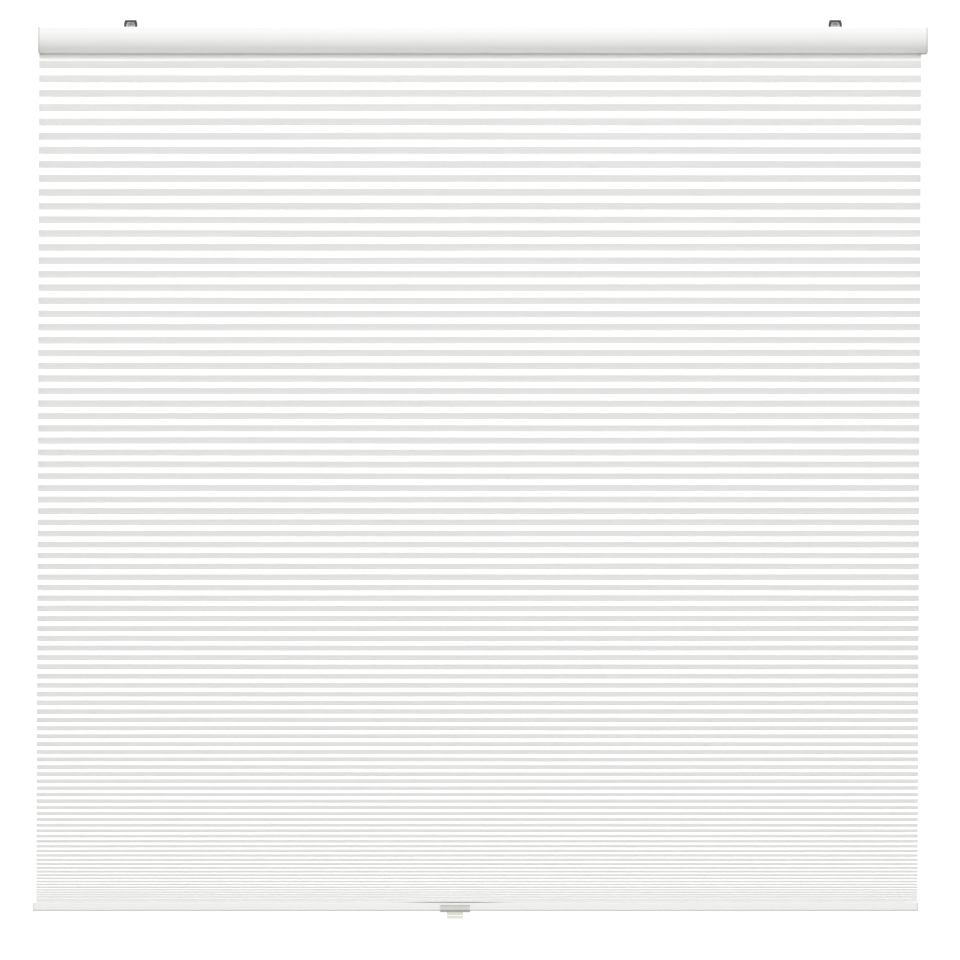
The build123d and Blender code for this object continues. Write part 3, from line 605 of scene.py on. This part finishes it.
lift = next(j for j in frame["joints"] if j["name"] == "lift")
travel_up = lift["range_m"][1]
packed_pitch = (cells_height - travel_up) / cell_count
strip_width = 4 * cell_face + 4 * glue_half  # flat, round one cell
along = [fabric_left + fabric_width * s / steps_along for s in range(steps_along + 1)]
followed = [0.0]
for pitch in pitches:
    followed.append(min(1.0, followed[-1] + (pitch - packed_pitch) / travel_up))
followed[-1] = 1.0
for k in range(cell_count):
    rings = [cell_rings(k, x) for x in along]
    cell = tube(f"cell_{k + 1:02d}", rings, along, k * strip_width, painted_glow_cloth)
    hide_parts("fabric")
    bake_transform(cell)

# At each end a hem of the same cloth hangs from the last glue line. It passes through the slot of its
# rail's channel and wraps the flat strip inside, which is too wide to come out.
strip_half = 9.0 * MM
strip_thickness = 1.0 * MM
strip_fit = 0.05 * MM
slot_half = 6.3 * MM
lip = 1.4 * MM  # of the rail, beside the channel's slot
hem_trim = 5.0 * MM
hem_steps = 8
lining_in = (0.15 * MM, 0.2 * MM)  # how far inwards the lining lies at the glue line and at the slot


def hem_rings(glue, up, gap):
    """The outside and the inside of a hem's section, from its glue line at one height into the rail."""
    wide = strip_half + strip_fit + cloth
    ledge = glue + up * (gap + lip)
    far = ledge + up * (2 * cloth + strip_thickness + 2 * strip_fit)
    outer = [(-glue_half, glue), (-slot_half, ledge), (-wide, ledge), (-wide, far)]
    inner = [
        (-glue_half + lining_in[0], glue + up * cloth),
        (-slot_half + lining_in[1], ledge + up * cloth),
        (-wide + cloth, ledge + up * cloth),
        (-wide + cloth, far - up * cloth),
    ]
    sections = []
    for half in (outer, inner):
        ring = half + [(-y, z) for y, z in reversed(half)]
        sections.append(ring if up < 0 else ring[::-1])
    return sections


hem_width = fabric_width - 2 * hem_trim
hem_along = [fabric_left + hem_trim + hem_width * s / hem_steps for s in range(hem_steps + 1)]
for name, body, glue, up, gap in (
    ("top_hem", "head", cells_top, 1, 0.0),
    ("bottom_hem", "bottom", cells_bottom, -1, hook_gap),
):
    hem = tube(name, [hem_rings(glue, up, gap)] * len(hem_along), hem_along, -strip_width, nonwoven)
    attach(hem, body)
    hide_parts("fabric")
for name in ("top_strip", "bottom_strip"):
    wear(name, acetal)


# ---- Bottom rail: extruded aluminium, powder-coated white ----
# A slim extrusion in the same coat as the head rail, with a channel on top for the lower strip and a
# chamber for the cords' plugs. A moulded cap closes each end.
wear("bottom_rail", powder_coat)


# ---- Handle: clear polycarbonate ----
# One clear moulding snapped round the bottom rail. Its clip, skirt and the two ridges above the tab
# have a fine frosting from the mould, and the band above the clip's rib and the tab that is pulled are
# polished. The rib's front and the floor under the rail get a darker tint, painted shade for the dark look of
# clear plastic seen edge on.
def clear_plastic(name, tint, roughness, clarity):
    """Clear plastic that lets light straight through and shines where it is seen at a slant."""
    material, tree, surface = start_material(name)
    surface.inputs["Base Color"].default_value = linear("#F4F5F3")
    surface.inputs["IOR"].default_value = 1.585
    surface.inputs["Roughness"].default_value = roughness
    through = add(tree, "BsdfTransparent", {"Color": linear(tint)})
    slant = add(tree, "LayerWeight", {"Blend": clarity})
    mix = add(
        tree,
        "MixShader",
        {0: slant.outputs["Facing"], 1: through.outputs["BSDF"], 2: surface.outputs["BSDF"]},
    )
    tree.links.new(mix.outputs["Shader"], tree.nodes["Material Output"].inputs["Surface"])
    return material


frosted = clear_plastic("frosted clear polycarbonate", "#FAFAF9", 0.35, 0.06)
grip = clear_plastic("heavily frosted polycarbonate", "#E8E7E3", 0.45, 0.12)
polished = clear_plastic("polished clear polycarbonate", "#FFFFFF", 0.05, 0.03)
# A darker tint for painted edge-on shade.
painted_edge_shade = clear_plastic("clear polycarbonate, painted edge-on shade", "#D0D0CC", 0.35, 0.12)

base_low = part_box("bottom_rail")[0]
wall = 1.2 * MM
fit = 0.1 * MM
hook_reach = 3.0 * MM
hook_thickness = 0.6 * MM
skirt_drop = 4.2 * MM
tab_half = 10.8 * MM
tab_steps = 8  # from the tab's middle to its side
ridge_proud = 0.5 * MM
ridges = [(1.2, 3.7), (4.7, 5.4)]  # how far below the skirt each starts and ends, in millimetres
band_height = 4.3 * MM
rib_height = 1.2 * MM
mould_radius = 0.3 * MM
band_low = handle_high.z - band_height
rib_low = band_low - rib_height
clip_low = base_low.z - fit - wall
skirt_low = clip_low - skirt_drop
tab_centre = handle_low.z + tab_half
tab_columns = [math.sin(math.pi / 2 * t / tab_steps) for t in range(-tab_steps, tab_steps + 1)]
xs = [-handle_half] + [tab_half * t for t in tab_columns] + [handle_half]
ys = [
    handle_low.y - ridge_proud,
    handle_low.y,
    handle_low.y + wall,
    handle_low.y + wall + hook_reach,
    handle_high.y - wall - hook_reach,
    handle_high.y - wall,
    handle_high.y,
]
zs = [
    handle_high.z,
    handle_high.z - hook_thickness,
    band_low,
    rib_low,
    base_low.z - fit,
    clip_low,
    skirt_low,
]
for top, foot in ridges:
    zs += [skirt_low - top * MM, skirt_low - foot * MM]
zs.append(handle_low.z)
band_layer = 1
rib_layer = 2
floor_layer = 4
skirt_layer = 5
ridge_layers = (7, 9)
tab_foot_layer = 10


def filled(i, j, k):
    """Whether the handle fills the block between these grid lines and the next along each axis.

    From the top down the layers are the two hooks, the walls with a rib across the front one, the
    floor under the rail, the skirt, and the tab with its ridges in front.
    """
    on_tab = 0 < i < len(xs) - 2
    if k == 0:
        return j in (1, 2, 4, 5)
    if k in (1, 3):
        return j in (1, 5)
    if k == rib_layer:
        return j in (0, 1, 5)
    if k == floor_layer:
        return 1 <= j <= 5
    if k == skirt_layer:
        return j == 1
    return on_tab and (j == 1 or (j == 0 and k in ridge_layers))


grid_points = {}
grid_faces = []
finishes = []


def grid_point(i, j, k):
    """The number of the corner at these grid lines. The lowest corners follow the tab's round end."""
    if (i, j, k) not in grid_points:
        z = zs[k]
        if k == len(zs) - 1:
            z = tab_centre - math.sqrt(max(tab_half**2 - xs[i] ** 2, 0.0))
        grid_points[(i, j, k)] = (len(grid_points), (handle_middle + xs[i], ys[j], z))
    return grid_points[(i, j, k)][0]


box_sides = (
    ((-1, 0, 0), ((0, 0, 0), (0, 0, 1), (0, 1, 1), (0, 1, 0))),
    ((1, 0, 0), ((1, 0, 0), (1, 1, 0), (1, 1, 1), (1, 0, 1))),
    ((0, -1, 0), ((0, 0, 0), (1, 0, 0), (1, 0, 1), (0, 0, 1))),
    ((0, 1, 0), ((0, 1, 0), (0, 1, 1), (1, 1, 1), (1, 1, 0))),
    ((0, 0, -1), ((0, 0, 0), (0, 1, 0), (1, 1, 0), (1, 0, 0))),
    ((0, 0, 1), ((0, 0, 1), (1, 0, 1), (1, 1, 1), (0, 1, 1))),
)
counts = (len(xs) - 1, len(ys) - 1, len(zs) - 1)
blocks = {
    (i, j, k)
    for i in range(counts[0])
    for j in range(counts[1])
    for k in range(counts[2])
    if filled(i, j, k)
}
for i, j, k in sorted(blocks):
    for (di, dj, dk), corners in box_sides:
        if (i + di, j + dj, k + dk) not in blocks:
            grid_faces.append([grid_point(i + a, j + b, k + c) for a, b, c in reversed(corners)])
            # The floor and the rib's front take the darker painted edge shade.
            if k == floor_layer or (k == rib_layer and dj == -1):
                finish = painted_edge_shade
            elif k in (band_layer, tab_foot_layer):
                finish = polished
            elif k in (skirt_layer, *ridge_layers) and 0 < i < counts[0] - 1:
                finish = grip
            else:
                finish = frosted
            finishes.append(finish)
handle = new_piece("pull_handle", [p for _, p in grid_points.values()], grid_faces, frosted)
handle_finishes = [frosted, grip, polished, painted_edge_shade]
for finish in handle_finishes[1:]:
    handle.data.materials.append(finish)
for face, finish in zip(handle.data.polygons, finishes):
    face.material_index = handle_finishes.index(finish)
edges = handle.modifiers.new("mould radii", "BEVEL")
edges.width = mould_radius
edges.segments = 2
edges.limit_method = "ANGLE"
edges.angle_limit = math.radians(50)
handle.data.shade_smooth()
handle.data.set_sharp_from_angle(angle=math.radians(35))
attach(handle, "bottom")
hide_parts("handle")
